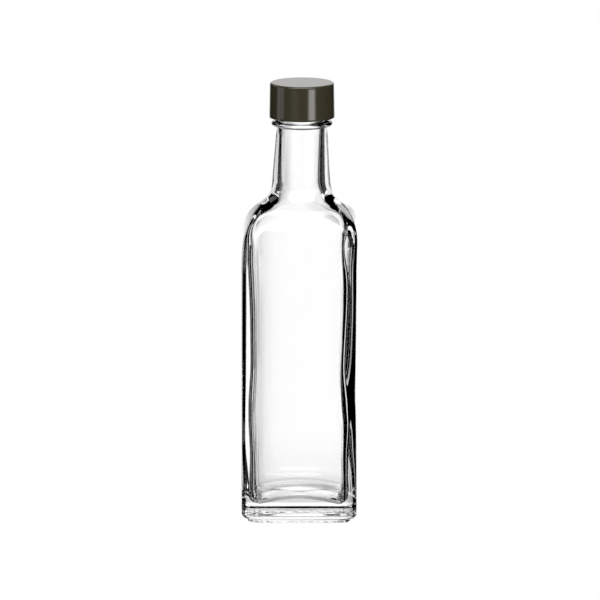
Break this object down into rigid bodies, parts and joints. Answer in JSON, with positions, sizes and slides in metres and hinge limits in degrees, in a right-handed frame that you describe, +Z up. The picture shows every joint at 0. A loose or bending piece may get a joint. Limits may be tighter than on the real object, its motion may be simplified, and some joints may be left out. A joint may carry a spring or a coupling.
{
  "type": "marasca bottle",
  "caption": "Empty square clear glass bottle of the marasca kind, with rounded shoulders, a long round neck and a smooth dark screw cap on.",
  "frame": {"origin": "middle of the base, on the surface that the bottle stands on", "axes": "+Z up along the bottle's axis; the four flat sides face +X, -X, +Y and -Y, and all are alike"},
  "size_m": [0.035, 0.035, 0.1334],
  "materials": {
    "glass": "clear, polished by fire, with a stippled ring under the base",
    "cap": "smooth, satin gloss"
  },
  "bodies": {
    "root": {"bottle": "glass", "cap": "cap"}
  },
  "joints": []
}
